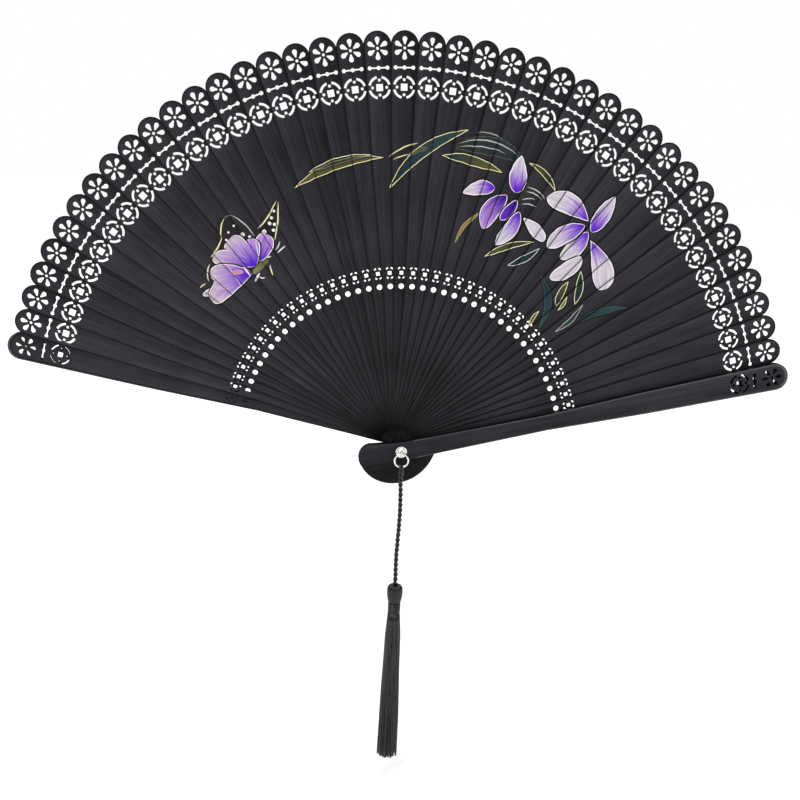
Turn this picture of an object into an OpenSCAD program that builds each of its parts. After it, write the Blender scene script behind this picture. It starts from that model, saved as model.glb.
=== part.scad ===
// Pierced folding fan: overlapping wooden leaves on one rivet, with two thick
// guards, a ribbon that links the leaves, and a tassel on a wire ring.
// The origin is on the rivet's axis, halfway through the stack of leaves.
// +Z is the middle line of the open fan, and the painted front faces -Y.

/* [Leaves] */
// Number of thin leaves between the two guards
leaf_count = 42; // [30:1:42]
// Angle from one leaf to the next when the fan is open
leaf_step = 3.75; // [3.4:0.01:3.8]
// Distance from the rivet to the rounded tip of a leaf
tip_reach = 189; // [185:0.5:195]
// Distance from the rivet to the rounded end of a leaf's head
head_reach = 20.5; // [18:0.5:22]
// Thickness of a thin leaf
leaf_thick = 0.48; // [0.4:0.01:0.6]
// Free space between two neighbouring leaves
leaf_gap = 0.02; // [0.02:0.01:0.05]

/* [Guards] */
// Thickness of each of the two outer guards
guard_thick = 2.6; // [1.5:0.1:3]
// Angle by which a guard stands past the leaf next to it
guard_lead = 0.15; // [0:0.05:1]

/* [Rivet] */
// Diameter of the rivet's shank
shank_d = 3; // [2:0.1:4]
// Radial clearance between the shank and each leaf
shank_clear = 0.05; // [0.03:0.01:0.1]
// Diameter of the washers under the rivet's heads
washer_d = 5.4; // [4.8:0.1:6]
// Thickness of a washer
washer_thick = 0.4; // [0.3:0.05:0.6]

/* [Ring and tassel] */
// Outer diameter of the wire ring
ring_d = 7.4; // [6.5:0.1:9]
// Diameter of the ring's wire
wire_d = 0.9; // [0.7:0.1:1]
// Diameter of the two-ply cord
cord_d = 2.3; // [1.5:0.1:3]
// Length of the tassel's skirt of threads
skirt_len = 81; // [60:1:95]

/* [Ribbon] */
// Distance from the rivet to the middle of the linking ribbon
ribbon_reach = 155; // [150:1:157]
// Width of the linking ribbon
ribbon_w = 5; // [3:0.5:6]

/* [Hidden] */
$fn = 48;

wood = [0.07, 0.07, 0.075];
metal = [0.78, 0.78, 0.76];
thread = [0.03, 0.03, 0.035];

// The stack along Y. Leaf 1 is the front one, at the right of the open fan.
leaf_pitch = leaf_thick + leaf_gap;
stack_half = leaf_count * leaf_pitch / 2;
guard_inner = stack_half + leaf_gap / 2;
guard_outer = guard_inner + guard_thick;
middle_leaf = (leaf_count + 1) / 2;

// The guards are cut a little wider and longer than the leaves
guard_widen = 1.06;
guard_lengthen = 1.006;
guard_slit_w = 1.8;
guard_flower_at = 182.1;
guard_slit_at = 173.8;
guard_medallion_at = 166.2;

// Half width of a leaf at stations along its length, from the head to the tip
tip_r = 6.15;
head_r = 6.3;
neck_half_w = 4.4;
waist_at = 70;
waist_half_w = 3.55;
tip_centre = tip_reach - tip_r;
head_centre = head_r - head_reach;
stations = [
    [head_r, head_centre], [neck_half_w, 0], [3.95, 20],
    [waist_half_w, waist_at], [5.15, 120], [tip_r, tip_centre]];

// Piercings, as distances from the rivet
flower_at = 181.7;
slit_at = 173.6;
medallion_at = 165.4;
small_medallion_at = 83.4;
dot_at = 77.1;

// Rivet hardware, as distances from the middle of the stack along Y
part_gap = 0.02;
washer_outer = guard_outer + part_gap + washer_thick;
shoulder = washer_outer + part_gap;
stem_r = 0.8;
stem_clear = 0.03;
stem_len = 0.4;
button_r = 2.1;
button_back = shoulder + part_gap;
button_front = button_back + 0.9;
eye_r = 1.15;
eye_wire_r = 0.42;
eye_y = button_front + eye_r;
rivet_head_r = 2.1;
rivet_head_h = 1;

// The ring hangs in the eye
ring_r = (ring_d - wire_d) / 2;
ring_drop = 0.2;
ring_low = ring_drop + 2 * ring_r;

// The cord hangs from the ring's lowest point: offsets in X and heights
cord_sway = [
    [0, -7.2], [0.1, -11], [0.2, -15], [0.4, -19], [0.5, -23], [0.6, -27],
    [0.6, -31], [0.5, -35], [0.4, -39], [0.2, -43], [0.1, -47], [-0.1, -51],
    [-0.1, -55], [-0.1, -59], [0, -63], [0, -68]];
cord_route = [for (p = cord_sway) [p[0], -eye_y, p[1]]];
cord_sides = 8;
tassel_top = -68;
head_len = 9;
binding_len = 6;
knot_r = 3.9;
binding_r = 3.1;
skirt_end_r = 5;

// The ribbon
ribbon_thick = 0.1;
ribbon_clear = 0.04;

function leaf_name(i) = str("leaf_", i < 10 ? "0" : "", i);
function leaf_angle(i) = (middle_leaf - i) * leaf_step;
function leaf_back(i) = (i - middle_leaf) * leaf_pitch + leaf_thick / 2;
function guard_angle() = leaf_angle(1) + guard_lead;

// Half width of a leaf between its waist and its tip, at distance d from the rivet
function upper_half_w(d) = lookup(d, [[waist_at, waist_half_w], [120, 5.15], [tip_centre, tip_r]]);

// Stands a flat shape up: its back face at back_y, turned by angle from +Z towards +X
module upright(back_y, angle, thick) {
    translate([0, back_y, 0])
        rotate([0, angle, 0])
            rotate([90, 0, 0])
                linear_extrude(thick)
                    children();
}

// A solid of revolution about Y. The profile's Y grows away from the stack at the front.
module turned_front(start_y) {
    translate([0, -start_y, 0])
        rotate([90, 0, 0])
            rotate_extrude()
                children();
}

module leaf_outline() {
    polygon(concat(
        [for (s = stations) [s[0], s[1]]],
        [for (k = [len(stations) - 1:-1:0]) [-stations[k][0], stations[k][1]]]));
    translate([0, tip_centre]) circle(tip_r);
    translate([0, head_centre]) circle(head_r);
}

// A petal points away from the flower's middle, along +Y
module petal() {
    translate([0, 3.8]) circle(1.05);
    polygon([[-0.25, 1.5], [0.25, 1.5], [1, 3.5], [-1, 3.5]]);
}

module flower() {
    circle(0.65);
    for (a = [0:60:300])
        rotate(a) petal();
}

// A slit across the leaf, with a round bulb in the middle and at both ends
module bulb_slit() {
    square([7.6, 0.65], center = true);
    for (x = [-3.9, 0, 3.9])
        translate([x, 0]) circle(0.88);
}

// One arc of a ring, centred on the diagonal
module ring_arc(outer_r, inner_r, half_angle) {
    reach = outer_r * 1.5;
    intersection() {
        difference() {
            circle(outer_r);
            circle(inner_r);
        }
        polygon([
            [0, 0],
            [reach * cos(45 - half_angle), reach * sin(45 - half_angle)],
            [reach, reach],
            [reach * cos(45 + half_angle), reach * sin(45 + half_angle)]]);
    }
}

module medallion() {
    square(3, center = true);
    for (a = [0:90:270])
        rotate(a) {
            ring_arc(5, 3.95, 31);
            translate([3.15, 0]) circle(0.64);
        }
}

module small_medallion() {
    square(1.75, center = true);
    for (a = [0:90:270])
        rotate(a) ring_arc(2.85, 2.1, 32);
}

module pierced_leaf() {
    difference() {
        leaf_outline();
        translate([0, flower_at]) flower();
        translate([0, slit_at]) bulb_slit();
        translate([0, medallion_at]) medallion();
        translate([0, small_medallion_at]) small_medallion();
        translate([0, dot_at]) circle(1.3);
        circle(shank_d / 2 + shank_clear);
    }
}

// A guard is pierced near its tip only, and its slit is plain and wide
module pierced_guard() {
    difference() {
        scale([guard_widen, guard_lengthen]) leaf_outline();
        translate([0, guard_flower_at]) flower();
        translate([0, guard_slit_at]) square([7.6, guard_slit_w], center = true);
        translate([0, guard_medallion_at]) medallion();
        circle(shank_d / 2 + shank_clear);
    }
}

module leaf(i) {
    color(wood)
        upright(leaf_back(i), leaf_angle(i), leaf_thick)
            pierced_leaf();
}

module front_guard() {
    color(wood)
        upright(-guard_inner, guard_angle(), guard_thick)
            pierced_guard();
}

module rear_guard() {
    color(wood)
        upright(guard_outer, -guard_angle(), guard_thick)
            pierced_guard();
}

// Shank with a stem for the swivel eye in front and a low domed head behind
module rivet() {
    color(metal) {
        rotate([90, 0, 0])
            cylinder(d = shank_d, h = 2 * shoulder, center = true);
        translate([0, -shoulder, 0])
            rotate([90, 0, 0])
                cylinder(r = stem_r, h = stem_len);
        translate([0, shoulder, 0])
            rotate([-90, 0, 0])
                rotate_extrude()
                    rivet_head_profile();
    }
}

module rivet_head_profile() {
    intersection() {
        translate([0, rivet_head_h - rivet_dome_r()]) circle(rivet_dome_r());
        square([rivet_head_r, rivet_head_h]);
    }
}

// Radius of the sphere whose cap is as wide and high as the rivet's head, with a small rim
function rivet_dome_r() = (pow(rivet_head_r, 2) + pow(rivet_head_h * 0.75, 2)) / (1.5 * rivet_head_h);

module washer(back_y) {
    color(metal)
        translate([0, back_y, 0])
            rotate([90, 0, 0])
                difference() {
                    cylinder(d = washer_d, h = washer_thick);
                    translate([0, 0, -washer_thick])
                        cylinder(r = shank_d / 2 + part_gap, h = 3 * washer_thick);
                }
}

module front_washer() {
    washer(-guard_outer - part_gap);
}

module rear_washer() {
    washer(washer_outer);
}

// A button that turns on the rivet's stem, with an upright eye for the ring
module swivel_eye() {
    button_h = button_front - button_back;
    edge = 0.3;
    color(metal) {
        difference() {
            turned_front(button_back)
                polygon([
                    [0, 0], [button_r, 0], [button_r, button_h - edge],
                    [button_r - edge, button_h], [0, button_h]]);
            translate([0, -button_back + part_gap, 0])
                rotate([90, 0, 0])
                    cylinder(r = stem_r + stem_clear, h = stem_len + part_gap);
        }
        translate([0, -eye_y, 0])
            rotate([0, 90, 0])
                rotate_extrude()
                    translate([eye_r, 0]) circle(eye_wire_r);
    }
}

module hanging_ring() {
    color(metal)
        translate([0, -eye_y, -ring_drop - ring_r])
            rotate([90, 0, 0])
                rotate_extrude()
                    translate([ring_r, 0]) circle(wire_d / 2);
}

// A point of leaf i's own plane, stood up in space at height y along the stack
function stood(p, i, y) = [
    p[0] * cos(leaf_angle(i)) + p[1] * sin(leaf_angle(i)), y,
    p[1] * cos(leaf_angle(i)) - p[0] * sin(leaf_angle(i))];

// The ribbon's four corners just past leaf i's right edge, on the level of leaf k's back
function edge_corners(i, k) =
    let (low = ribbon_reach - ribbon_w / 2, high = ribbon_reach + ribbon_w / 2,
         low_side = upper_half_w(low) + ribbon_clear,
         high_side = upper_half_w(high) + ribbon_clear,
         inner_y = leaf_back(k) + ribbon_clear, outer_y = inner_y + ribbon_thick)
    [stood([low_side, low], i, inner_y), stood([low_side + ribbon_thick, low], i, outer_y),
     stood([high_side + ribbon_thick, high], i, outer_y), stood([high_side, high], i, inner_y)];

// One band that lies on each leaf's back and steps over its right edge to the leaf before it.
// It ends at the last leaf's edge, because the rear guard lies flat on that leaf's back.
module linking_ribbon() {
    rings = concat(
        [edge_corners(1, 1)],
        [for (i = [2:leaf_count - 1], k = [i - 1, i]) edge_corners(i, k)],
        [edge_corners(leaf_count, leaf_count - 1)]);
    last = len(rings) - 1;
    points = [for (r = rings, p = r) p];
    walls = [for (r = [0:last - 1], c = [0:3])
        let (next = (c + 1) % 4, a = r * 4, b = a + 4)
        [a + c, b + c, b + next, a + next]];
    color(thread)
        polyhedron(points, concat(walls, [[0, 1, 2, 3], [for (c = [3:-1:0]) last * 4 + c]]));
}

// A tube swept along the cord's route, which runs almost straight down
module tassel_cord() {
    rings = len(cord_route);
    turn = 360 / cord_sides;
    points = [for (p = cord_route, k = [0:cord_sides - 1])
        p + [cos(k * turn), sin(k * turn), 0] * cord_d / 2];
    walls = [for (r = [0:rings - 2], k = [0:cord_sides - 1])
        let (next = (k + 1) % cord_sides, a = r * cord_sides, b = a + cord_sides)
        [a + k, b + k, b + next, a + next]];
    top = [for (k = [0:cord_sides - 1]) k];
    bottom = [for (k = [cord_sides - 1:-1:0]) (rings - 1) * cord_sides + k];
    color(thread)
        polyhedron(points, concat(walls, [top, bottom]));
}

// A solid of revolution under the cord. The profile's Y is the height above the tassel's top.
module tassel_solid(profile) {
    color(thread)
        translate([0, -eye_y, tassel_top])
            rotate_extrude()
                polygon(profile);
}

module tassel_head() {
    tassel_solid([
        [0, 0], [knot_r * 0.75, 0], [knot_r * 0.97, -1], [knot_r, -2.5],
        [knot_r * 0.97, -head_len + 2], [binding_r, -head_len], [0, -head_len]]);
}

module tassel_binding() {
    low = head_len + binding_len;
    tassel_solid([[0, -head_len], [binding_r, -head_len], [binding_r, -low], [0, -low]]);
}

module tassel_skirt() {
    top = head_len + binding_len;
    tassel_solid([
        [0, -top], [binding_r, -top], [binding_r + 0.8, -top - 12],
        [skirt_end_r, -top - skirt_len], [0, -top - skirt_len]]);
}

front_guard();
rear_guard();
for (i = [1:leaf_count])
    leaf(i);
rivet();
front_washer();
rear_washer();
swivel_eye();
hanging_ring();
linking_ribbon();
tassel_cord();
tassel_head();
tassel_binding();
tassel_skirt();
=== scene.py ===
"""Looks of the open folding fan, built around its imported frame.

Lengths in the tables are millimetres in the fan's own frame: X to the right,
Z up the middle line of the open fan, the painted front facing -Y. Angles are degrees.
"""
import math
import random

import bpy
from mathutils import Matrix, Vector


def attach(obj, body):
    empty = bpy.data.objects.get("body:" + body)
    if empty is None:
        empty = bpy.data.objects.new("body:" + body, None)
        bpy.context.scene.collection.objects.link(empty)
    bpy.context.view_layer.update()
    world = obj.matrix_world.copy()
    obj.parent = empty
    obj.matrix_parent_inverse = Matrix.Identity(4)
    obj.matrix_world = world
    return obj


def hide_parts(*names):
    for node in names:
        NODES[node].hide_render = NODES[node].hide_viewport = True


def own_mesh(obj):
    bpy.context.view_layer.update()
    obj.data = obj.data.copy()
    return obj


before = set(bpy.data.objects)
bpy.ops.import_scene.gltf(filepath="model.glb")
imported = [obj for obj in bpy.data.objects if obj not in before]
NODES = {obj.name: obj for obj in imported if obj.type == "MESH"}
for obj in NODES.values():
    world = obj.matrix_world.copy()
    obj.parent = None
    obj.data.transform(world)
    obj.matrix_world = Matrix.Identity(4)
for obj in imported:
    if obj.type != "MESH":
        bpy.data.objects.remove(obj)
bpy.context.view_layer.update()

MM = 0.001

# ---------------------------------------------------------------- the fan's sizes
LEAF_COUNT = 42
LEAF_STEP = 3.75
LEAF_THICK = 0.48
LEAF_PITCH = 0.5
MIDDLE_LEAF = 21.5
GUARD_ANGLE = 77.025
NECK_HALF_W = 4.4
WAIST_AT = 70
WAIST_HALF_W = 3.55
SHOULDER_AT = 120
SHOULDER_HALF_W = 5.15
TIP_CENTRE = 182.85
TIP_R = 6.15
RIBBON_REACH = 155
RIBBON_W = 5
RIBBON_FACES = (0.02, 0.12)
RIBBON_OVER = 0.12
EYE_Y = 15.62
RING_LOW = 6.7
CORD_D = 2.3
CORD_LAY = 5.2
WRAP_R = 1.05
TASSEL_TOP = -68
HEAD_LEN = 9
BINDING_LEN = 6
BINDING_R = 3.1
SKIRT_LEN = 81
SKIRT_END_R = 5

# The cord's route: places along X and Z, from the ring down to the tassel
CORD_SWAY = [
    (0, -7.2), (0.1, -11), (0.2, -15), (0.4, -19), (0.5, -23), (0.6, -27),
    (0.6, -31), (0.5, -35), (0.4, -39), (0.2, -43), (0.1, -47), (-0.1, -51),
    (-0.1, -55), (-0.1, -59), (0, -63), (0, -68)]


def leaf_angle(i):
    """How far leaf i leans to the right of the middle line."""
    return (MIDDLE_LEAF - i) * LEAF_STEP


def leaf_name(i):
    return "leaf_%02d" % i


def leaf_back(i):
    """Where the back face of leaf i lies along Y."""
    return (i - MIDDLE_LEAF) * LEAF_PITCH + LEAF_THICK / 2


def lookup(d, table):
    """The value at d of a table of (place, value) pairs, in straight lines between them."""
    if d <= table[0][0]:
        return table[0][1]
    for (a, va), (b, vb) in zip(table, table[1:]):
        if d <= b:
            return va + (vb - va) * (d - a) / (b - a)
    return table[-1][1]


def half_width(d):
    """Half width of a leaf at a distance from the rivet."""
    return lookup(d, [(0, NECK_HALF_W), (20, 3.95), (WAIST_AT, WAIST_HALF_W),
                      (SHOULDER_AT, SHOULDER_HALF_W), (TIP_CENTRE, TIP_R)])


# ---------------------------------------------------------------- camera
def look_from(azimuth, elevation, roll, distance, target, lens):
    """Makes the camera, at a distance from its target."""
    az, el, tilt = (math.radians(v) for v in (azimuth, elevation, roll))
    forward = Vector((math.sin(az) * math.cos(el), math.cos(az) * math.cos(el), -math.sin(el)))
    level = Vector((math.cos(az), -math.sin(az), 0))
    upward = level.cross(forward)
    right = level * math.cos(tilt) + upward * math.sin(tilt)
    up = upward * math.cos(tilt) - level * math.sin(tilt)
    place = Vector(target) * MM - forward * distance * MM
    camera_data = bpy.data.cameras.new("camera")
    camera_data.lens = lens
    camera_data.sensor_width = 36
    camera_data.clip_start = 0.01
    camera = bpy.data.objects.new("camera", camera_data)
    turned = Matrix((right, up, -forward)).transposed().to_4x4()
    camera.matrix_world = Matrix.Translation(place) @ turned
    bpy.context.scene.collection.objects.link(camera)
    bpy.context.scene.camera = camera


look_from(azimuth=5.7, elevation=15.4, roll=2.8, distance=454.5, target=(-0.5, 0, 22), lens=42.4)


# ---------------------------------------------------------------- mesh helpers
def new_piece(name, points, faces, material, body, smooth=True):
    """A mesh object from points in millimetres, riding on a body."""
    mesh = bpy.data.meshes.new(name)
    mesh.from_pydata([[c * MM for c in p] for p in points], [], faces)
    mesh.materials.append(material)
    if smooth:
        mesh.polygons.foreach_set("use_smooth", [True] * len(mesh.polygons))
    mesh.update()
    piece = bpy.data.objects.new(name, mesh)
    bpy.context.scene.collection.objects.link(piece)
    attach(piece, body)
    return piece


def swept(points, faces, route, radius, sides, normal=(0, 1, 0), closed=False):
    """Adds a round tube along a route to points and faces; radius is a number or one per ring."""
    first = len(points)
    count = len(route)
    route = [Vector(p) for p in route]
    guide = Vector(normal)
    for r, centre in enumerate(route):
        ahead = route[(r + 1) % count] if closed or r < count - 1 else centre
        behind = route[r - 1] if closed or r > 0 else centre
        along = (ahead - behind).normalized()
        side = guide - along * guide.dot(along)
        if side.length < 1e-6:
            side = along.orthogonal()
        side.normalize()
        other = along.cross(side)
        size = radius[r] if hasattr(radius, "__len__") else radius
        for k in range(sides):
            turn = 2 * math.pi * k / sides
            points.append(centre + side * (size * math.cos(turn)) + other * (size * math.sin(turn)))
    rings = count if closed else count - 1
    for r in range(rings):
        a = first + r * sides
        b = first + ((r + 1) % count) * sides
        for k in range(sides):
            after = (k + 1) % sides
            faces.append((a + k, b + k, b + after, a + after))
    if not closed:
        faces.append(tuple(first + k for k in range(sides)))
        faces.append(tuple(first + (count - 1) * sides + k for k in reversed(range(sides))))


def spline_point(route, s):
    """A point of a smooth line through the route, at s from 0 to 1."""
    last = len(route) - 1
    x = min(max(s, 0.0), 1.0) * last
    i = min(int(x), last - 1)
    t = x - i
    p = [Vector(route[min(max(i + k, 0), last)]) for k in (-1, 0, 1, 2)]
    return 0.5 * ((2 * p[1]) + (p[2] - p[0]) * t + (2 * p[0] - 5 * p[1] + 4 * p[2] - p[3]) * t * t
                  + (3 * p[1] - p[0] - 3 * p[2] + p[3]) * t ** 3)


# ---------------------------------------------------------------- node helpers
class Graph:
    """Short names for the nodes of one material or node group."""

    def __init__(self, tree):
        self.tree = tree

    def node(self, kind, inputs=None, **settings):
        made = self.tree.nodes.new(kind)
        for key, value in settings.items():
            setattr(made, key, value)
        for key, value in (inputs or {}).items():
            self.set(made.inputs[key], value)
        return made

    def set(self, socket, value):
        if isinstance(value, bpy.types.NodeSocket):
            self.tree.links.new(value, socket)
        else:
            socket.default_value = value

    def math(self, operation, a, b=None, c=None, clamp=False):
        inputs = {k: v for k, v in enumerate((a, b, c)) if v is not None}
        return self.node("ShaderNodeMath", inputs, operation=operation, use_clamp=clamp).outputs[0]

    def dot(self, a, b):
        return self.node("ShaderNodeVectorMath", {0: a, 1: b}, operation="DOT_PRODUCT").outputs["Value"]

    def vector(self, operation, a, b):
        return self.node("ShaderNodeVectorMath", {0: a, 1: b}, operation=operation).outputs[0]

    def combine(self, x, y, z=0.0):
        return self.node("ShaderNodeCombineXYZ", {0: x, 1: y, 2: z}).outputs[0]

    def noise(self, vector, scale, detail=2.0, rough=0.5, kind="3D"):
        return self.node("ShaderNodeTexNoise", {"Vector": vector, "Scale": scale, "Detail": detail,
                                                "Roughness": rough}, noise_dimensions=kind).outputs["Fac"]

    def mix(self, factor, a, b):
        made = self.node("ShaderNodeMix", data_type="RGBA", clamp_factor=True)
        self.set(made.inputs["Factor"], factor)
        self.set(made.inputs["A"], a)
        self.set(made.inputs["B"], b)
        return made.outputs["Result"]

    def span(self, value, low, high, to_low=0.0, to_high=1.0, smooth=False):
        return self.node("ShaderNodeMapRange", {"Value": value, "From Min": low, "From Max": high,
                                                "To Min": to_low, "To Max": to_high},
                         interpolation_type="SMOOTHSTEP" if smooth else "LINEAR").outputs[0]

    def scaled(self, vector, scale):
        return self.node("ShaderNodeMapping", {"Vector": vector, "Scale": scale}).outputs[0]

    def bump(self, height, strength, distance):
        return self.node("ShaderNodeBump", {"Height": height, "Strength": strength,
                                            "Distance": distance}).outputs[0]


def new_material(name):
    material = bpy.data.materials.new(name)
    material.use_nodes = True
    tree = material.node_tree
    tree.nodes.clear()
    graph = Graph(tree)
    shader = graph.node("ShaderNodeBsdfPrincipled")
    graph.node("ShaderNodeOutputMaterial", {"Surface": shader.outputs[0]})
    return material, graph, shader


def object_position(graph):
    """The place on the resting fan, in millimetres, and the flat normal."""
    place = graph.node("ShaderNodeTexCoord")
    position = graph.node("ShaderNodeVectorMath", {0: place.outputs["Object"], "Scale": 1000.0},
                          operation="SCALE").outputs[0]
    return position, place.outputs["Normal"]


def new_group(name, inputs, outputs):
    tree = bpy.data.node_groups.new(name, "ShaderNodeTree")
    for label, kind in inputs:
        tree.interface.new_socket(label, in_out="INPUT", socket_type=kind)
    for label, kind in outputs:
        tree.interface.new_socket(label, in_out="OUTPUT", socket_type=kind)
    return tree, tree.nodes.new("NodeGroupInput"), tree.nodes.new("NodeGroupOutput")


# ---------------------------------------------------------------- the painting
FLOAT, VECTOR, COLOUR = "NodeSocketFloat", "NodeSocketVector", "NodeSocketColor"
PAINT_EDGE = 0.14
HALO_FROM, HALO_TO = -1.0, -0.3
STREAK_ACROSS, STREAK_ALONG = 5.0, 1.6
STREAK_FADE = 0.55
RIM_FADE = 0.12
WANDER_SCALE = 0.22
WANDER_REACH = 0.9
PAINT_GRAIN_SCALE = (7, 7, 0.25)
PAINT_ROUGHER = 0.06
PAINT_HEIGHT = 0.8
MIDDLE_TONE = (0.40, 0.13, 0.68, 1)
HALO_TONE = (0.002, 0.002, 0.002, 1)


def brush_group():
    """One brush shape: a curved lens from a base point, filled in two tones, with a drawn outline."""
    tree, given, result = new_group(
        "brush_shape",
        [("Position", VECTOR), ("Under", COLOUR), ("Paint", FLOAT), ("Base", VECTOR), ("Along", VECTOR),
         ("Across", VECTOR), ("Length", FLOAT), ("Width", FLOAT), ("Bend", FLOAT), ("Blunt base", FLOAT),
         ("Blunt tip", FLOAT), ("Inner tone", COLOUR), ("Outer tone", COLOUR),
         ("Fade", FLOAT), ("Fill", FLOAT), ("Line", FLOAT), ("Line tone", COLOUR), ("Line strength", FLOAT),
         ("Line side", FLOAT), ("Halo", FLOAT), ("Blush", FLOAT)],
        [("Under", COLOUR), ("Paint", FLOAT)])
    g = Graph(tree)
    i = given.outputs
    offset = g.vector("SUBTRACT", i["Position"], i["Base"])
    u = g.dot(offset, i["Along"])
    t = g.dot(offset, i["Across"])
    uc = g.math("MINIMUM", g.math("MAXIMUM", u, 0.0), 1.0)
    rest = g.math("SUBTRACT", 1.0, uc)
    bow = g.math("MULTIPLY", g.math("MULTIPLY", uc, rest), i["Bend"])
    t = g.math("SUBTRACT", t, bow)
    shape = g.math("MULTIPLY", g.math("POWER", uc, i["Blunt base"]), g.math("POWER", rest, i["Blunt tip"]))
    width = g.math("MULTIPLY", shape, i["Width"])
    beyond = g.math("MULTIPLY", g.math("ABSOLUTE", g.math("SUBTRACT", u, uc)), i["Length"])
    depth = g.math("SUBTRACT", g.math("SUBTRACT", width, g.math("ABSOLUTE", t)), beyond)
    inside = g.span(depth, 0.0, PAINT_EDGE)
    halo = g.math("MULTIPLY", g.span(depth, HALO_FROM, HALO_TO, smooth=True), i["Halo"])
    under = g.mix(halo, i["Under"], HALO_TONE)
    v = g.math("DIVIDE", t, g.math("MAXIMUM", width, 0.05))
    streak_at = g.combine(g.math("MULTIPLY", v, STREAK_ACROSS), g.math("MULTIPLY", u, STREAK_ALONG))
    streak = g.noise(streak_at, 1.0, 2.0, 0.55, "2D")
    tone = g.math("ADD", uc, g.math("MULTIPLY", g.math("SUBTRACT", streak, 0.5), STREAK_FADE))
    tone = g.math("ADD", tone, g.math("MULTIPLY", g.math("MULTIPLY", v, v), RIM_FADE))
    turned = g.span(tone, 0.08, i["Fade"], smooth=True)
    fill = g.mix(turned, i["Inner tone"], i["Outer tone"])
    middle = g.math("MULTIPLY", turned, g.math("SUBTRACT", 1.0, turned))
    fill = g.mix(g.math("MULTIPLY", middle, i["Blush"]), fill, MIDDLE_TONE)
    strength = g.math("MULTIPLY", i["Fill"], g.span(streak, 0.25, 0.65, 0.7, 1.0))
    colour = g.mix(g.math("MULTIPLY", inside, strength), under, fill)
    rim = g.math("SUBTRACT", 1.0, g.span(depth, i["Line"], g.math("ADD", i["Line"], PAINT_EDGE)))
    lean = g.math("ADD", 1.0, g.math("MULTIPLY", i["Line side"], v), clamp=True)
    line = g.math("MULTIPLY", g.math("MULTIPLY", inside, rim), g.math("MULTIPLY", lean, i["Line strength"]))
    g.set(result.inputs["Under"], g.mix(line, colour, i["Line tone"]))
    covered = g.math("MAXIMUM", g.math("MULTIPLY", inside, i["Fill"]), line)
    g.set(result.inputs["Paint"], g.math("MAXIMUM", i["Paint"], covered))
    return tree


CREAM = (0.90, 0.84, 0.48, 1)
PALE = (0.72, 0.71, 0.64, 1)
PEARL = (0.95, 0.90, 0.87, 1)
WHITE = (0.64, 0.58, 0.66, 1)
LILAC = (0.50, 0.30, 0.67, 1)
VIOLET = (0.120, 0.010, 0.53, 1)
INDIGO = (0.040, 0.003, 0.27, 1)
FAWN = (0.55, 0.46, 0.51, 1)
PLUM = (0.075, 0.005, 0.45, 1)
TEAL = (0.010, 0.036, 0.040, 1)
SEA = (0.030, 0.075, 0.080, 1)
OLIVE = (0.13, 0.125, 0.035, 1)
MOSS = (0.21, 0.21, 0.095, 1)
OCHRE = (0.32, 0.22, 0.07, 1)
SOOT = (0.004, 0.004, 0.004, 1)


def shape(base, angle, length, width, bend=0, blunt=(0.6, 0.5), inner=WHITE, outer=None, fade=0.8, fill=1.0,
          line=0.3, tone=CREAM, strength=0.9, side=0.0, halo=0.0, blush=0.0):
    """A brush shape: base point, direction in degrees from +X, length, full width, sideways bend."""
    return dict(base=base, angle=angle, length=length, width=width / 2, bend=bend, blunt=blunt,
                inner=inner, outer=outer or inner, fade=fade, fill=fill, line=line, tone=tone,
                strength=strength, side=side, halo=halo, blush=blush)


def petal(base, angle, length, width, bend=0, blunt=(0.7, 0.62), inner=VIOLET, outer=WHITE, fade=0.85,
          line=0.34, tone=PEARL, blush=1.1, **more):
    return shape(base, angle, length, width, bend, blunt, inner, outer, fade, 1.0, line, tone, halo=1.0,
                 blush=blush if inner != WHITE else 0.0, **more)


def wing(base, angle, length, width, bend=0, blunt=(0.8, 0.4), outer=FAWN, fade=1.12, drawn=True):
    """One lobe of a wing; the undrawn ones lie over the inner parts of their neighbours' outlines."""
    less = 0 if drawn else 0.9
    return shape(base, angle, length - less, width - less, bend, blunt, PLUM, outer, fade, 1.0,
                 0.36 if drawn else 0.0, PEARL, 0.95 if drawn else 0.0, halo=1.0 if drawn else 0.0, blush=1.1)


def blade(base, angle, length, width, bend=0, inner=TEAL, outer=SEA, fill=0.8, **more):
    return shape(base, angle, length, width, bend, (0.85, 0.9), inner, outer, 0.9, fill * 0.8,
                 halo=0.6, **more)


def stroke(base, angle, length, width=0.7, bend=0, tone=CREAM, strength=0.85):
    return shape(base, angle, length, width, bend, (0.5, 0.5), tone, tone, 0.9, strength, line=0, strength=0)


def dot(x, z, size=1.2):
    return shape((x - size / 2, z), 0, size, size, 0, (0.5, 0.5), PEARL, PEARL, 0.9, 1.0, line=0, strength=0)


def link(first, last, width=0.7, bend=0, tone=CREAM, strength=0.9):
    """A stroke from one point to another."""
    x, z = last[0] - first[0], last[1] - first[1]
    return stroke(first, math.degrees(math.atan2(z, x)), math.hypot(x, z), width, bend, tone, strength)


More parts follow.
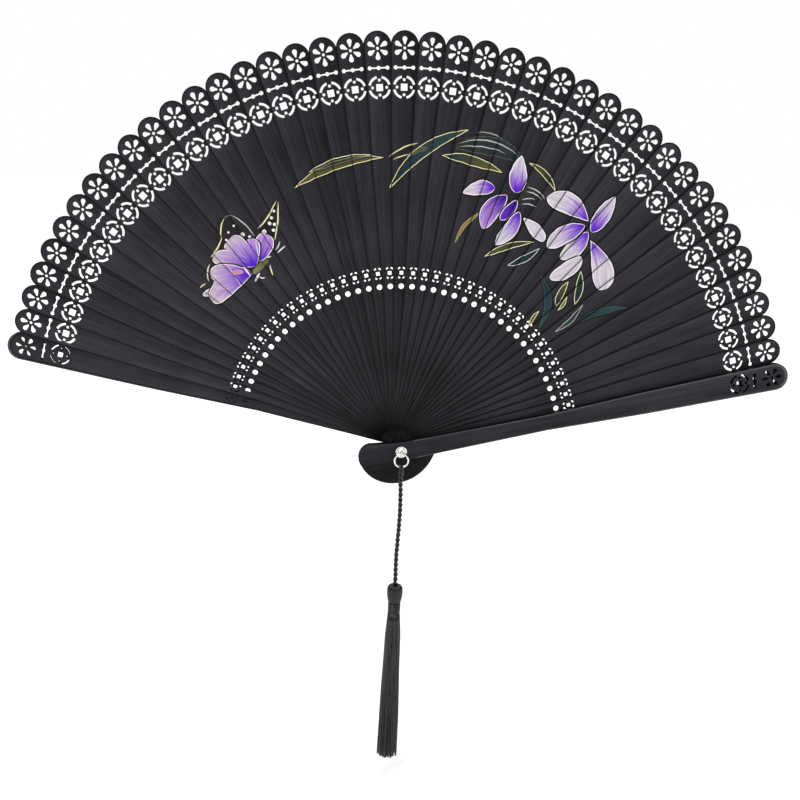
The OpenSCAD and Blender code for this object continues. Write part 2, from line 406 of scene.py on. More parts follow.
PAINTING = [
    # blades behind the flowers
    blade((-10, 121.5), 38, 44, 5.5, 4.5, TEAL, SEA, 0.75),
    stroke((-11, 135), 28, 15, 0.7, 1), stroke((-9, 134), 20, 8, 0.6, 0.5),
    shape((-2, 136.5), 22, 9, 2.2, 0.5, inner=OLIVE, fill=0.45, line=0),
    blade((-53, 119.5), 21, 43, 4.2, 3.5, OLIVE, OLIVE, 0.75, tone=CREAM),
    blade((-47, 126.5), 18, 30, 3, 1.5, TEAL, TEAL, 0.5, side=1.0),
    shape((19, 141), -7, 30, 8, 3, inner=TEAL, fill=0.35, line=0),
    stroke((20, 142.5), -9, 28, 0.7, 4, PALE, 0.7), stroke((20, 141), -5, 22, 0.6, 1.5, PALE, 0.7),
    stroke((28, 147.5), -12, 12, 0.6, 1.5, PALE, 0.5),
    blade((13, 137), -13, 28.5, 4.6, 1.5, TEAL, OLIVE, 0.8),
    blade((52.5, 135.5), -43, 18, 3, 2, OLIVE, TEAL, 0.6),
    stroke((52.5, 125), -33, 10, 0.6, 1.2, PALE), stroke((52.5, 123), -27, 7.5, 0.6, 0.8, PALE),
    stroke((50.5, 119), 2, 6, 0.6, 0.8, PALE), stroke((50.5, 117), -7, 7, 0.6, 0.6, PALE),
    shape((21, 98.5), 52, 18, 1.8, 1.5, inner=OCHRE, fill=0.8, line=0.15, strength=0.4),
    blade((35, 92.5), 19, 24, 3, 1.5, OLIVE, TEAL, 0.75),
    blade((46, 89), 31, 17, 3.4, -1, TEAL, TEAL, 0.7, tone=PALE),
    # blades under the right-hand flower
    blade((62.5, 60), 93, 26, 3.6, -4.5, SEA, TEAL, 0.85, tone=SEA),
    blade((58, 61), 60, 9, 2, 0.5, OLIVE, OLIVE, 0.85),
    blade((70, 71), 67, 13, 3.4, 0.6, TEAL, OLIVE, 0.6),
    blade((71, 69), 60, 8, 1.6, -0.5, OLIVE, TEAL, 0.6),
    blade((79, 72), 85, 16, 3.8, -0.8, TEAL, TEAL, 0.75),
    blade((70.5, 59), 48, 18.5, 2.6, -1.5, SEA, TEAL, 0.8, tone=PALE, strength=0.6),
    blade((81.5, 64), 18, 24, 3.2, 2, TEAL, SEA, 0.9, tone=SEA),
    # left-hand flower
    petal((43.7, 120.9), -124, 18.6, 8.6, -1.8, inner=INDIGO, outer=LILAC, fade=1.05),
    link((42.3, 118.5), (35.8, 108), 0.35, -1, INDIGO, 0.7),
    link((42.8, 118), (38.6, 110.5), 0.3, -0.5, INDIGO, 0.6),
    petal((48.1, 122), 86.5, 16.8, 8.3, 0.5, (0.55, 0.85), fade=0.85),
    petal((37.7, 123.8), -169.3, 14.6, 6.7, -1, (0.5, 0.75), fade=0.75),
    petal((48.3, 118.8), -127.6, 11.6, 5.1, 0.4, inner=INDIGO, outer=VIOLET, fade=1.3, blush=0.4),
    petal((50.1, 113.5), -124.1, 18.4, 6.9, 1.3, (0.6, 0.65), fade=0.8),
    petal((52.1, 111), -44.4, 14.3, 5.7, 0.3, (0.8, 0.5), inner=WHITE),
    # right-hand flower
    petal((82.3, 110.6), 153.5, 22.8, 9.8, -2.5, (0.95, 0.62), fade=0.7),
    petal((83.8, 106.1), 60.1, 18.8, 7.4, -0.3, (0.55, 0.75), fade=0.85),
    petal((82.3, 106), -132.2, 17.4, 7.7, 1.2, fade=0.75),
    petal((80.7, 108.8), -147.9, 20, 8.3, -1.1, fade=0.8),
    link((76, 107.6), (66, 99.8), 0.35, -0.3, PEARL, 0.5),
    petal((83.6, 102.5), -68.5, 24.4, 10.4, 1.6, (1.1, 0.47), fade=0.6),
    petal((80.5, 93.9), -144.8, 17.4, 7.1, 1, (0.45, 0.5), inner=WHITE),
    # butterfly: dark fore wings with drawn edges and dots
    shape((-73, 86), 125, 23, 14.5, 1.5, (0.5, 0.6), SOOT, SOOT, 0.9, 0.45, 0, CREAM, 0),
    shape((-67, 92), 76, 21.5, 7, -0.5, (0.4, 0.8), SOOT, SOOT, 0.9, 0.75, 0, CREAM, 0),
    link((-90.9, 86.6), (-85.7, 96.5), 0.85, -0.8), link((-85.6, 95), (-84.4, 104.6), 0.8, 0.9),
    link((-84.8, 104.2), (-80.6, 106.4), 0.5, 0.6, PALE, 0.3),
    link((-81.4, 106.3), (-70.5, 96.9), 0.7, 1, PALE, 0.75),
    link((-69.4, 100.3), (-61.2, 113.5), 0.85, -0.8), link((-62, 95), (-60.4, 113.5), 0.85, -1),
    dot(-83.6, 94.9, 1.2), dot(-79.8, 96.3, 1.6), dot(-76.2, 97.7, 1.9), dot(-72.9, 96.8, 1.4),
    dot(-82.6, 98.3, 1.1), dot(-80.1, 101.3, 1.1), dot(-61.9, 108.9, 1.3), dot(-62.9, 106, 1.7),
    dot(-64, 103.3, 1.7), dot(-61.7, 103, 1.6), dot(-62.1, 100.3, 1.6),
    # butterfly: hind wings, first the drawn lobes and then the paint that joins them
    wing((-67.5, 88), 83, 12.6, 3.4, 0.3, (0.6, 0.5), FAWN, 0.7),
    wing((-68.6, 85.5), 76, 13.2, 8.4, -0.4, (0.7, 0.38), LILAC, 1.05),
    wing((-70.3, 83.2), 99, 12.8, 7, 0, (0.8, 0.35), LILAC, 1.25),
    wing((-70.3, 83.2), 135, 17, 10.6, 0.3, (0.9, 0.33)), wing((-70.3, 83.2), 170, 19.8, 7.6, -1, (0.8, 0.4)),
    wing((-70.3, 83.2), 100, 12.4, 7, 0, (0.8, 0.35), LILAC, 1.25, False),
    wing((-70.3, 83.2), 135, 17, 10.6, 0.3, (0.9, 0.33), drawn=False),
    wing((-70.3, 83.2), 170, 19.8, 7.6, -1, (0.8, 0.4), drawn=False),
    wing((-84.5, 74), -152, 11.4, 3.6, 0.3, (0.6, 0.5), FAWN, 0.2),
    wing((-71.5, 80.3), -175.6, 19.5, 8.2, -0.4, (0.8, 0.36)),
    wing((-71.5, 80), -143.8, 23.4, 9.6, -2, (0.75, 0.36)),
    wing((-71.5, 80.3), -175.6, 19.5, 8.2, -0.4, (0.8, 0.36), drawn=False),
    wing((-71.5, 80), -143.8, 23.4, 9.6, -2, (0.75, 0.36), drawn=False),
    wing((-73, 79.5), -160, 18.4, 8.6, 0, (0.8, 0.4), drawn=False),
    link((-72.5, 84.5), (-80.5, 93.2), 0.3, 0.4, PEARL, 0.4),
    link((-72.5, 84), (-85.5, 89.5), 0.3, -0.3, PEARL, 0.4),
    link((-71, 84.5), (-74.5, 93), 0.3, 0.3, INDIGO, 0.6),
    link((-68.2, 86.5), (-70.2, 96), 0.45, 0.4, PEARL, 0.8),
    link((-68, 87), (-66.3, 97), 0.35, -0.3, INDIGO, 0.6),
    link((-72.5, 83.2), (-85, 86.3), 0.3, -0.5, INDIGO, 0.4),
    link((-83.2, 83.2), (-76.6, 73.3), 0.5, 0.2, PEARL, 0.75),
    link((-89, 74.5), (-83.5, 69.5), 0.35, 0, INDIGO, 0.4),
    link((-76, 82.9), (-72.2, 78.6), 0.9, 0, PEARL, 1.0),
    shape((-81.8, 79.5), 9, 6.2, 2.5, 0.3, inner=(0.55, 0.24, 0.33, 1), line=0.25, tone=LILAC, strength=0.8),
    shape((-71.2, 79.8), 45, 9.6, 2.7, 0.2, (0.4, 0.4), MOSS, OLIVE, 0.9, 0.95, 0.2, OCHRE, 0.6),
    link((-63.4, 84.4), (-61.9, 78.7), 0.75, -0.3), link((-68.2, 80.4), (-70.4, 76), 1.1, 0, PEARL),
    link((-68.4, 78.6), (-65.8, 78.2), 0.7, -0.4, PEARL), link((-59.1, 95.4), (-61.1, 91.2), 0.75, 0.2, PALE),
    link((-56.5, 93.5), (-60.1, 89.8), 0.85, -0.2, PEARL), link((-65, 87.7), (-63, 88.2), 0.75, 0, PALE),
    link((-90.9, 83.6), (-91.6, 75.4), 0.75, -1), link((-95.9, 71.8), (-93.1, 74.3), 0.75, 0.1)]


def spine_point(s, u):
    """A point of a brush shape's middle line."""
    a = math.radians(s["angle"])
    along, across = s["length"] * u, 4 * s["bend"] * u * (1 - u)
    return (s["base"][0] + along * math.cos(a) - across * math.sin(a),
            s["base"][1] + along * math.sin(a) + across * math.cos(a))


def crosses(s, i):
    """True where a brush shape comes onto leaf i."""
    a = math.radians(leaf_angle(i))
    for k in range(17):
        x, z = spine_point(s, k / 16)
        side = x * math.cos(a) - z * math.sin(a)
        reach = x * math.sin(a) + z * math.cos(a)
        if abs(side) < half_width(reach) + s["width"] + 0.4:
            return True
    return False


def painted(graph, brush, position, under, i):
    """Chains the brush shapes that cross leaf i; returns the colour and how much paint covers it."""
    wander = graph.node("ShaderNodeTexNoise", {"Vector": position, "Scale": WANDER_SCALE, "Detail": 1.0})
    shift = graph.vector("SUBTRACT", wander.outputs["Color"], (0.5, 0.5, 0.5))
    shift = graph.node("ShaderNodeVectorMath", {0: shift, "Scale": WANDER_REACH},
                       operation="SCALE").outputs[0]
    drawn = graph.vector("ADD", position, shift)
    colour, paint = under, 0.0
    for s in PAINTING:
        if not crosses(s, i):
            continue
        a = math.radians(s["angle"])
        p, q = s["blunt"]
        peak = (p / (p + q)) ** p * (q / (p + q)) ** q
        step = graph.node("ShaderNodeGroup", node_tree=brush)
        for key, value in {
                "Position": drawn, "Under": colour, "Paint": paint,
                "Base": (s["base"][0], 0, s["base"][1]),
                "Along": (math.cos(a) / s["length"], 0, math.sin(a) / s["length"]),
                "Across": (-math.sin(a), 0, math.cos(a)), "Length": float(s["length"]),
                "Width": s["width"] / peak, "Bend": 4.0 * s["bend"], "Blunt base": p, "Blunt tip": q,
                "Inner tone": s["inner"], "Outer tone": s["outer"], "Fade": s["fade"], "Fill": s["fill"],
                "Line": s["line"], "Line tone": s["tone"], "Line strength": s["strength"],
                "Line side": s["side"], "Halo": s["halo"], "Blush": s["blush"]}.items():
            graph.set(step.inputs[key], value)
        colour, paint = step.outputs["Under"], step.outputs["Paint"]
    return colour, paint


# ---------------------------------------------------------------- materials
FIBRE_SCALE = (2.4, 2.4, 0.022)
PORE_SCALE = (11.0, 11.0, 0.25)
CLOUD_SCALE = (0.12, 0.12, 0.035)
WOOD_DARK = (0.0022, 0.0021, 0.0029, 1)
WOOD_LIGHT = (0.0364, 0.0357, 0.0438, 1)
# Near black of the charred cut edges, which also serves as painted shade where one leaf lies over the next.
WOOD_BURNT_AND_SHADED = (0.0015, 0.0015, 0.0015, 1)
# Painted highlight: the light tone along the guards' edges, where a rounded edge would catch the light.
GUARD_EDGE_HIGHLIGHT_TONE = (0.085, 0.083, 0.090, 1)
GRAIN_DEPTH = 0.00008
PORE_SHARE = 0.25
GRAIN_CONTRAST = 0.36
CLOUD_CONTRAST = 0.16
# Painted light: change of colour per millimetre across each leaf, lighter towards its left side.
PAINTED_LIGHT_PER_MM_ACROSS = -0.03
# How strong the painted highlight along the guards' edges is.
GUARD_EDGE_HIGHLIGHT = 0.8
# How far the head is kept free of the charred edge and painted shade.
HEAD_FREE_OF_BURN_AND_SHADE = 12
DARKER_NEAR_RIVET = -0.16
# Painted shade: how much darker the leaves standing near upright are.
PAINTED_SHADE_UPRIGHT = 0.11
LEAF_VARIETY = 0.09
NICKEL = (0.80, 0.79, 0.76, 1)
NICKEL_DULL = (0.66, 0.65, 0.62, 1)
RIBBON_DARK = (0.012, 0.012, 0.013, 1)
RIBBON_LIGHT = (0.05, 0.05, 0.054, 1)
THREAD_DARK = (0.0012, 0.0012, 0.0014, 1)
CORD_LIGHT = (0.008, 0.008, 0.0095, 1)
SKIRT_LIGHT = (0.008, 0.009, 0.011, 1)


def wood_group():
    """Dyed wood: colour, roughness and grain height from a place turned into the leaf's own direction; the
    colour also holds painted light and painted shade.
    """
    tree, given, result = new_group(
        "grain_dye_and_painted_light", [("Position", VECTOR), ("Shade", FLOAT), ("Face", FLOAT), ("Burn and shade", FLOAT)],
        [("Colour", COLOUR), ("Rough", FLOAT), ("Height", FLOAT), ("Edge", FLOAT)])
    g = Graph(tree)
    p = given.outputs["Position"]
    fibre = g.noise(g.scaled(p, FIBRE_SCALE), 1.0, 4.0, 0.7)
    pore = g.noise(g.scaled(p, PORE_SCALE), 1.0, 2.0, 0.5)
    cloud = g.noise(g.scaled(p, CLOUD_SCALE), 1.0, 2.0, 0.5)
    grain = g.math("ADD", g.math("MULTIPLY", fibre, 1 - PORE_SHARE), g.math("MULTIPLY", pore, PORE_SHARE))
    split = g.node("ShaderNodeSeparateXYZ", {0: p}).outputs
    x, z = split[0], split[2]
    grain_tone = g.span(grain, 0.32, 0.68, -GRAIN_CONTRAST, GRAIN_CONTRAST)
    cloud_tone = g.span(cloud, 0.3, 0.7, -CLOUD_CONTRAST, CLOUD_CONTRAST)
    tone = g.math("ADD", grain_tone, cloud_tone)
    # Painted light across the leaf, plus the leaf's shade: a random tone and painted shade on near-upright
    # leaves.
    tone = g.math("ADD", tone, g.math("MULTIPLY_ADD", x, PAINTED_LIGHT_PER_MM_ACROSS, given.outputs["Shade"]))
    tone = g.math("ADD", tone, g.span(z, 20, 110, DARKER_NEAR_RIVET, 0.0))
    dye_and_painted_light = g.mix(g.math("ADD", tone, 0.5, clamp=True), WOOD_DARK, WOOD_LIGHT)
    half = g.math("ADD", g.span(z, 0, WAIST_AT, NECK_HALF_W, WAIST_HALF_W),
                  g.span(z, WAIST_AT, SHOULDER_AT, 0, SHOULDER_HALF_W - WAIST_HALF_W))
    half = g.math("ADD", half, g.span(z, SHOULDER_AT, TIP_CENTRE, 0, TIP_R - SHOULDER_HALF_W))
    half = g.math("ADD", half, g.span(z, -1, 7, HEAD_FREE_OF_BURN_AND_SHADE, 0))
    beyond = g.math("MAXIMUM", g.math("SUBTRACT", z, TIP_CENTRE), 0.0)
    out = g.math("SQRT", g.math("ADD", g.math("MULTIPLY", x, x), g.math("MULTIPLY", beyond, beyond)))
    inward = g.math("SUBTRACT", half, out)
    # Dark band along each leaf's edges: partly the charred cut edge, partly painted shade between overlapping
    # leaves.
    burn_and_shade = g.math("ADD", inward, g.math("MULTIPLY", g.math("SUBTRACT", grain, 0.5), 0.5))
    burnt_and_shaded = g.math("MULTIPLY", given.outputs["Burn and shade"], g.span(burn_and_shade, 0.15, 1.0, 1.0, 0.0, smooth=True))
    kept = g.math("MULTIPLY", given.outputs["Face"], g.math("SUBTRACT", 1.0, burnt_and_shaded))
    g.set(result.inputs["Colour"], g.mix(kept, WOOD_BURNT_AND_SHADED, dye_and_painted_light))
    g.set(result.inputs["Edge"], g.span(burn_and_shade, 0.1, 0.5, smooth=True))
    g.set(result.inputs["Rough"], g.span(grain, 0.3, 0.7, 0.58, 0.44))
    g.set(result.inputs["Height"], grain)
    return tree


def wood_material(name, grain, angle, shade, brush=None, leaf=None):
    """Dyed wood for one leaf, with painted light and shade in its colour, whose grain runs along the leaf;
    leaf is its number where it is painted.
    """
    material, g, shader = new_material(name)
    position, normal = object_position(g)
    turned = g.node("ShaderNodeVectorRotate", {"Vector": position, "Angle": math.radians(angle)},
                    rotation_type="Y_AXIS", invert=True).outputs[0]
    facing = g.math("ABSOLUTE", g.dot(normal, (0, 1, 0)))
    face = g.span(facing, 0.55, 0.85)
    burn_and_shade = 0.0 if leaf is None else 1.0
    wood = g.node("ShaderNodeGroup", {"Position": turned, "Shade": shade, "Face": face, "Burn and shade": burn_and_shade},
                  node_tree=grain)
    colour, rough, height = (wood.outputs[k] for k in ("Colour", "Rough", "Height"))
    if leaf is None:
        # Painted highlight: a lighter band along the guard's edges.
        edge_highlight = g.math("SUBTRACT", GUARD_EDGE_HIGHLIGHT, g.math("MULTIPLY", wood.outputs["Edge"], GUARD_EDGE_HIGHLIGHT))
        edge_highlight = g.math("MULTIPLY", face, edge_highlight)
        colour = g.mix(edge_highlight, colour, GUARD_EDGE_HIGHLIGHT_TONE)
    elif any(crosses(s, leaf) for s in PAINTING):
        drawn, paint = painted(g, brush, position, colour, leaf)
        front = g.span(g.dot(normal, (0, -1, 0)), 0.5, 0.8)
        paint_grain = g.noise(g.scaled(turned, PAINT_GRAIN_SCALE), 1.0, 3.0, 0.6)
        soft = g.span(paint_grain, 0.25, 0.6, 0.86, 1.0)
        # Near the leaf's edges the paint turns soot black: the charred edge and painted shade between the
        # leaves, over the paint.
        drawn = g.mix(wood.outputs["Edge"], SOOT, drawn)
        colour = g.mix(g.math("MULTIPLY", front, soft), colour, drawn)
        cover = g.math("MULTIPLY", paint, front)
        rough = g.math("ADD", rough, g.math("MULTIPLY", cover, PAINT_ROUGHER))
        height = g.math("ADD", g.math("MULTIPLY", height, g.span(cover, 0, 1, 1.0, 0.5)),
                        g.math("MULTIPLY", cover, PAINT_HEIGHT))
    g.set(shader.inputs["Base Color"], colour)
    g.set(shader.inputs["Roughness"], rough)
    shader.inputs["Specular IOR Level"].default_value = 0.13
    g.set(shader.inputs["Normal"], g.bump(height, 0.4, GRAIN_DEPTH))
    return material


def metal_material():
    """Bright nickel with fine scratches and faint stains."""
    material, g, shader = new_material("bright_nickel")
    position, _ = object_position(g)
    scratch = g.noise(g.scaled(position, (3.0, 14.0, 3.0)), 1.0, 3.0, 0.6)
    stain = g.noise(position, 0.9, 2.0, 0.5)
    colour = g.mix(g.span(stain, 0.4, 0.7), NICKEL, NICKEL_DULL)
    g.set(shader.inputs["Base Color"], colour)
    g.set(shader.inputs["Roughness"], g.span(scratch, 0.3, 0.7, 0.14, 0.30))
    shader.inputs["Metallic"].default_value = 1.0
    g.set(shader.inputs["Normal"], g.bump(scratch, 0.15, 0.00003))
    return material


def thread_material(name, stretch, low, high, rough):
    """Black silky thread; stretch scales the fibre noise along each axis."""
    material, g, shader = new_material(name)
    position, _ = object_position(g)
    fibre = g.noise(g.scaled(position, stretch), 1.0, 3.0, 0.6)
    strand = g.node("ShaderNodeNewGeometry").outputs["Random Per Island"]
    tone = g.math("ADD", g.math("MULTIPLY", fibre, 0.6), g.math("MULTIPLY", strand, 0.4))
    g.set(shader.inputs["Base Color"], g.mix(g.span(tone, 0.25, 0.75), low, high))
    g.set(shader.inputs["Roughness"], g.span(fibre, 0.3, 0.7, rough + 0.08, rough - 0.06))
    shader.inputs["Specular IOR Level"].default_value = 0.45
    g.set(shader.inputs["Normal"], g.bump(fibre, 0.4, 0.00006))
    return material


def ribbon_material():
    """Narrow woven ribbon: fine ribs across, soft sheen."""
    material, g, shader = new_material("woven_ribbon")
    position, _ = object_position(g)
    warp = g.node("ShaderNodeTexWave", {"Vector": position, "Scale": 1.1, "Distortion": 0.6, "Detail": 1.0},
                  wave_type="RINGS", rings_direction="Y").outputs["Fac"]
    fuzz = g.noise(position, 9.0, 3.0, 0.6)
    weave = g.math("ADD", g.math("MULTIPLY", warp, 0.6), g.math("MULTIPLY", fuzz, 0.4))
    g.set(shader.inputs["Base Color"], g.mix(weave, RIBBON_DARK, RIBBON_LIGHT))
    g.set(shader.inputs["Roughness"], g.span(fuzz, 0.3, 0.7, 0.75, 0.6))
    shader.inputs["Sheen Weight"].default_value = 0.4
    g.set(shader.inputs["Normal"], g.bump(weave, 0.5, 0.00005))
    return material


METAL = metal_material()
CORD_THREAD = thread_material("cord_thread", (4, 4, 1.2), THREAD_DARK, CORD_LIGHT, 0.27)
SKIRT_THREAD = thread_material("skirt_thread", (6, 6, 0.25), THREAD_DARK, SKIRT_LIGHT, 0.27)
RIBBON = ribbon_material()

# ---------------------------------------------------------------- the cord, made first
route = [(x, -EYE_Y, z) for x, z in CORD_SWAY]


def twisted_cord():
    """Two plies that wind round each other down the route."""
    points, faces = [], []
    steps = 240
    ply_r, ply_offset = CORD_D * 0.27, CORD_D * 0.24
    for ply in (0, 1):
        line = []
        for k in range(steps + 1):
            centre = spline_point(route, k / steps)
            turn = 2 * math.pi * (-centre.z / CORD_LAY) + math.pi * ply
            line.append(centre + Vector((math.cos(turn), math.sin(turn), 0)) * ply_offset)
        swept(points, faces, line, ply_r, 10)
    piece = new_piece("twisted_cord", points, faces, CORD_THREAD, "tassel")
    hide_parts("tassel_cord")
    return piece


def lathe(profile, segments, centre):
    """Points and faces of a closed turned shape; the profile runs from its top to its bottom."""
    points, faces = [], []
    for r, z in profile:
        for k in range(segments):
            a = 2 * math.pi * k / segments
            points.append((centre[0] + r * math.cos(a), centre[1] + r * math.sin(a), centre[2] + z))
    for row in range(len(profile) - 1):
        for k in range(segments):
            after = (k + 1) % segments
            a, b = row * segments, (row + 1) * segments
            faces.append((a + k, b + k, b + after, a + after))
    faces.append(tuple(reversed(range(segments))))
    last = (len(profile) - 1) * segments
    faces.append(tuple(last + k for k in range(segments)))
    return points, faces


def head_radius(z):
    """Radius of the tassel's cap at a height below its top."""
    return lookup(-z, [(0, 1.9), (0.5, 3.0), (1.4, 3.65), (2.8, 3.85), (5.5, 3.75), (7.5, 3.4), (9, 3.0)])


def tassel_cap():
    """The folded-over threads of the cap: strands that rise from the neck and turn in at the top."""
    random.seed(5)
    core_profile = [(0.6, -0.3)] + [(head_radius(-z) - 0.45, -z) for z in (0.5, 1.4, 2.8, 5.5, 7.5, 9)]
    points, faces = lathe(core_profile, 32, (0, -EYE_Y, TASSEL_TOP))
    strands, strand_r, steps = 52, 0.27, 14
    sunk, twisted, turned_in_r, turned_in_lift = 0.22, 0.10, 1.2, 0.15
    for k in range(strands):
        a = 2 * math.pi * (k + random.uniform(-0.15, 0.15)) / strands
        line = []
        for step in range(steps + 1):
            z = -HEAD_LEN * step / steps
            r = turned_in_r if step == 0 else head_radius(z) - sunk
            lift = turned_in_lift if step == 0 else 0
            twist = a + twisted * step / steps
            line.append((r * math.cos(twist), -EYE_Y + r * math.sin(twist), TASSEL_TOP + z + lift))
        swept(points, faces, line, strand_r, 6, normal=(math.cos(a), math.sin(a), 0.01))
    piece = new_piece("tassel_cap", points, faces, SKIRT_THREAD, "tassel")
    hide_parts("tassel_head")
    return piece


def tassel_whipping():
    """The thread wound round the neck."""
    top = TASSEL_TOP - HEAD_LEN
    core = [(BINDING_R - 0.5, 0), (BINDING_R - 0.5, -BINDING_LEN)]
    points, faces = lathe(core, 32, (0, -EYE_Y, top))
    turns, steps, thread_r = 11, 28, 0.28
    line = []
    for k in range(turns * steps + 1):
        a = 2 * math.pi * k / steps
        z = top - 0.25 - (BINDING_LEN - 0.5) * k / (turns * steps)
        r = BINDING_R - thread_r
        line.append((r * math.cos(a), -EYE_Y + r * math.sin(a), z))
    swept(points, faces, line, thread_r, 8, normal=(0, 0, 1))
    piece = new_piece("tassel_whipping", points, faces, CORD_THREAD, "tassel")
    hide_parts("tassel_binding")
    return piece


SKIRT_PROFILE = [(0, BINDING_R - 0.35), (0.15, BINDING_R + 0.55), (0.6, 4.3), (1, SKIRT_END_R - 0.1)]
THREAD_RADII = [0.24] * 17 + [0.22, 0.16]


def tassel_threads():
    """The skirt: loose threads that spread a little towards their cut ends."""
    random.seed(11)
    points, faces = [], []
    top = TASSEL_TOP - HEAD_LEN - BINDING_LEN
    rings = [(0.35, 42), (0.62, 66), (0.86, 92), (1.0, 110)]
    steps = len(THREAD_RADII) - 1
    for share, count in rings:
        for k in range(count):
            a = 2 * math.pi * (k + random.uniform(-0.35, 0.35)) / count
            swirl = random.uniform(-0.18, 0.18)
            spread = share * random.uniform(0.9, 1.08)
            cut = SKIRT_LEN - 0.3 - abs(random.gauss(0, 0.9))
            phase = random.uniform(0, 6.28)
            line = []
            for step in range(steps + 1):
                s = step / steps
                r = lookup(s, SKIRT_PROFILE) * (share + (spread - share) * s)
                angle = a + swirl * s + 0.05 * math.sin(5 * s + phase)
                drift = 0.18 * math.sin(7 * s + phase) * s
                r += drift
                line.append((r * math.cos(angle), -EYE_Y + r * math.sin(angle), top - cut * s))
            swept(points, faces, line, THREAD_RADII, 5, normal=(math.cos(a), math.sin(a), 0.01))
    piece = new_piece("tassel_threads", points, faces, SKIRT_THREAD, "tassel")
    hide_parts("tassel_skirt")


def ring_hitch():
    """Two turns of cord that hold the ring's lowest point, and the wrap that closes them."""
    points, faces = [], []
    turns = [2 * math.pi * k / 28 for k in range(28)]
    turn_r, wrap_r = 0.52, 0.42
    for x in (-0.62, 0.62):
        loop = []
        for a in turns:
            down = 1.35 if math.sin(a) < 0 else 1.0
            loop.append((x * (0.75 + 0.25 * math.sin(a)), -EYE_Y + math.cos(a),
                         -RING_LOW + down * math.sin(a)))
        swept(points, faces, loop, turn_r, 10, normal=(1, 0, 0), closed=True)
    for z in (-8.5, -9.25):
        loop = [(WRAP_R * math.cos(a), -EYE_Y + WRAP_R * math.sin(a), z + 0.15 * math.sin(a))
                for a in turns]
        swept(points, faces, loop, wrap_r, 8, normal=(0, 0, 1), closed=True)
    new_piece("cord_hitch", points, faces, CORD_THREAD, "tassel")


cord_piece = twisted_cord()
cap_piece = tassel_cap()
whipping_piece = tassel_whipping()
ring_hitch()
tassel_threads()


# ---------------------------------------------------------------- wood and metal on the frame's nodes
def give(node, material):
    """Puts one material on a node of the frame."""
    mesh = NODES[node].data
    mesh.materials.clear()
    mesh.materials.append(material)


brush = brush_group()
grain = wood_group()
random.seed(3)
for i in range(1, LEAF_COUNT + 1):
    # Each leaf's shade: a random tone, made darker by painted shade on the leaves near upright.
    upright = max(math.cos(math.radians(2 * leaf_angle(i))), 0)
    shade = random.uniform(-LEAF_VARIETY, LEAF_VARIETY) - PAINTED_SHADE_UPRIGHT * upright
    give(leaf_name(i), wood_material("wood_%02d" % i, grain, leaf_angle(i), shade, brush, i))
give("front_guard", wood_material("wood_front_guard", grain, GUARD_ANGLE, 0.02))
give("rear_guard", wood_material("wood_rear_guard", grain, -GUARD_ANGLE, 0.0))
for node in ("rivet", "front_washer", "rear_washer", "swivel_eye", "hanging_ring"):
    give(node, METAL)


# ---------------------------------------------------------------- the ribbon on the back
def stood(side, reach, i, y):
    """A point of leaf i, from its place across and along the leaf."""
    a = math.radians(leaf_angle(i))
    return (side * math.cos(a) + reach * math.sin(a), y, reach * math.cos(a) - side * math.sin(a))


def ribbon_piece(i):
    """The ribbon on the back of leaf i: from the next leaf's edge to its own edge, and over it."""
    y = leaf_back(i)
    low, high = RIBBON_REACH - RIBBON_W / 2, RIBBON_REACH + RIBBON_W / 2
    rows, columns = 4, 10
    points, faces = [], []
    for lift in RIBBON_FACES:
        for r in range(rows + 1):
            reach = low + (high - low) * r / rows
            right = half_width(reach) + 0.1
            turn = math.radians(LEAF_STEP)
            covered = (half_width(reach) - reach * math.sin(turn)) / math.cos(turn)
            for c in range(columns + 1):
                s = c / columns
                side = covered + RIBBON_OVER + (right - covered - RIBBON_OVER) * s
                sag = 0.05 * math.sin(math.pi * s)
                points.append(stood(side, reach + 0.12 * math.sin(3 * s + i), i, y + lift + sag))
    width = columns + 1
    per_layer = (rows + 1) * width
    for r in range(rows):
        for c in range(columns):
            a = r * width + c
            faces.append((a, a + width, a + width + 1, a + 1))
            b = a + per_layer
            faces.append((b, b + 1, b + width + 1, b + width))
    for c in range(columns):
        for a, flip in ((c, False), (rows * width + c, True)):
            quad = (a, a + 1, a + 1 + per_layer, a + per_layer)
            faces.append(tuple(reversed(quad)) if flip else quad)
    for r in range(rows):
        for a, flip in ((r * width, True), (r * width + columns, False)):
            quad = (a, a + width, a + width + per_layer, a + per_layer)
            faces.append(tuple(reversed(quad)) if flip else quad)
    piece = new_piece("ribbon_%02d" % i, points, faces, RIBBON, leaf_name(i), smooth=False)
    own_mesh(piece)
    return piece


for i in range(1, LEAF_COUNT):
    band = ribbon_piece(i)
    if i == 1:
        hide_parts("linking_ribbon")

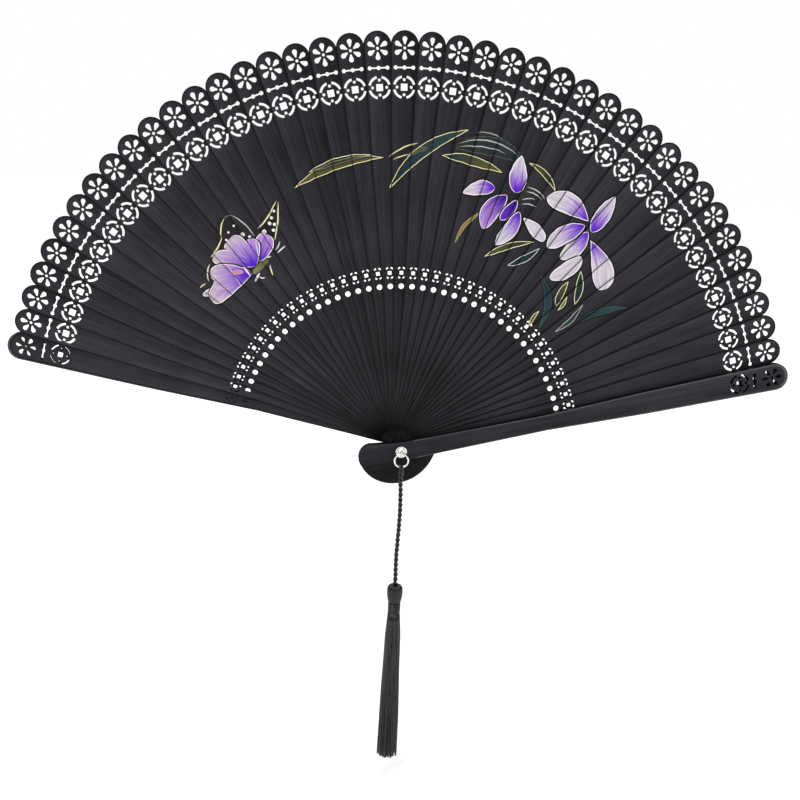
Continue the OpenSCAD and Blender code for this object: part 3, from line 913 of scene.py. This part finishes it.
# ---------------------------------------------------------------- floor and light
FLOOR_Z = -0.175
FLOOR_REACH = 6.0
BACKDROP, AMBIENT = 1.0, 0.35


def stage_floor():
    """The plain pale floor under the hanging tassel."""
    mesh = bpy.data.meshes.new("floor")
    corners = [(x * FLOOR_REACH, y * FLOOR_REACH, FLOOR_Z) for x, y in ((-1, -1), (1, -1), (1, 1), (-1, 1))]
    mesh.from_pydata(corners, [], [(0, 1, 2, 3)])
    floor = bpy.data.objects.new("floor", mesh)
    bpy.context.scene.collection.objects.link(floor)
    material, g, shader = new_material("pale_floor")
    shader.inputs["Base Color"].default_value = (0.92, 0.92, 0.92, 1)
    shader.inputs["Roughness"].default_value = 0.9
    shader.inputs["Specular IOR Level"].default_value = 0.1
    mesh.materials.append(material)


def area_light(name, place, size, power, target=(0, 0, 0.06)):
    """A round soft light, in metres and watts, that faces the target."""
    data = bpy.data.lights.new(name, "AREA")
    data.shape = "DISK"
    data.size = size
    data.energy = power
    lamp = bpy.data.objects.new(name, data)
    bpy.context.scene.collection.objects.link(lamp)
    lamp.location = place
    lamp.rotation_euler = (Vector(target) - Vector(place)).to_track_quat("-Z", "Y").to_euler()


stage_floor()
area_light("key", (-0.9, -1.0, 1.5), size=0.8, power=17)
area_light("fill", (1.2, -1.3, 0.7), size=1.4, power=4)
area_light("back", (0.2, 1.6, 1.4), size=1.6, power=8, target=(0, 0, 0.05))
overhead = bpy.data.lights.new("overhead", "SUN")
overhead.energy = 2.4
overhead.angle = math.radians(60)
overhead_lamp = bpy.data.objects.new("overhead", overhead)
bpy.context.scene.collection.objects.link(overhead_lamp)
world = bpy.data.worlds.new("studio")
world.use_nodes = True
sky = Graph(world.node_tree)
seen = sky.node("ShaderNodeLightPath").outputs["Is Camera Ray"]
backdrop = world.node_tree.nodes["Background"]
backdrop.inputs["Color"].default_value = (1, 1, 1, 1)
sky.set(backdrop.inputs["Strength"], sky.span(seen, 0, 1, AMBIENT, BACKDROP))
bpy.context.scene.world = world
bpy.context.scene.view_settings.view_transform = "Standard"

bpy.context.view_layer.update()
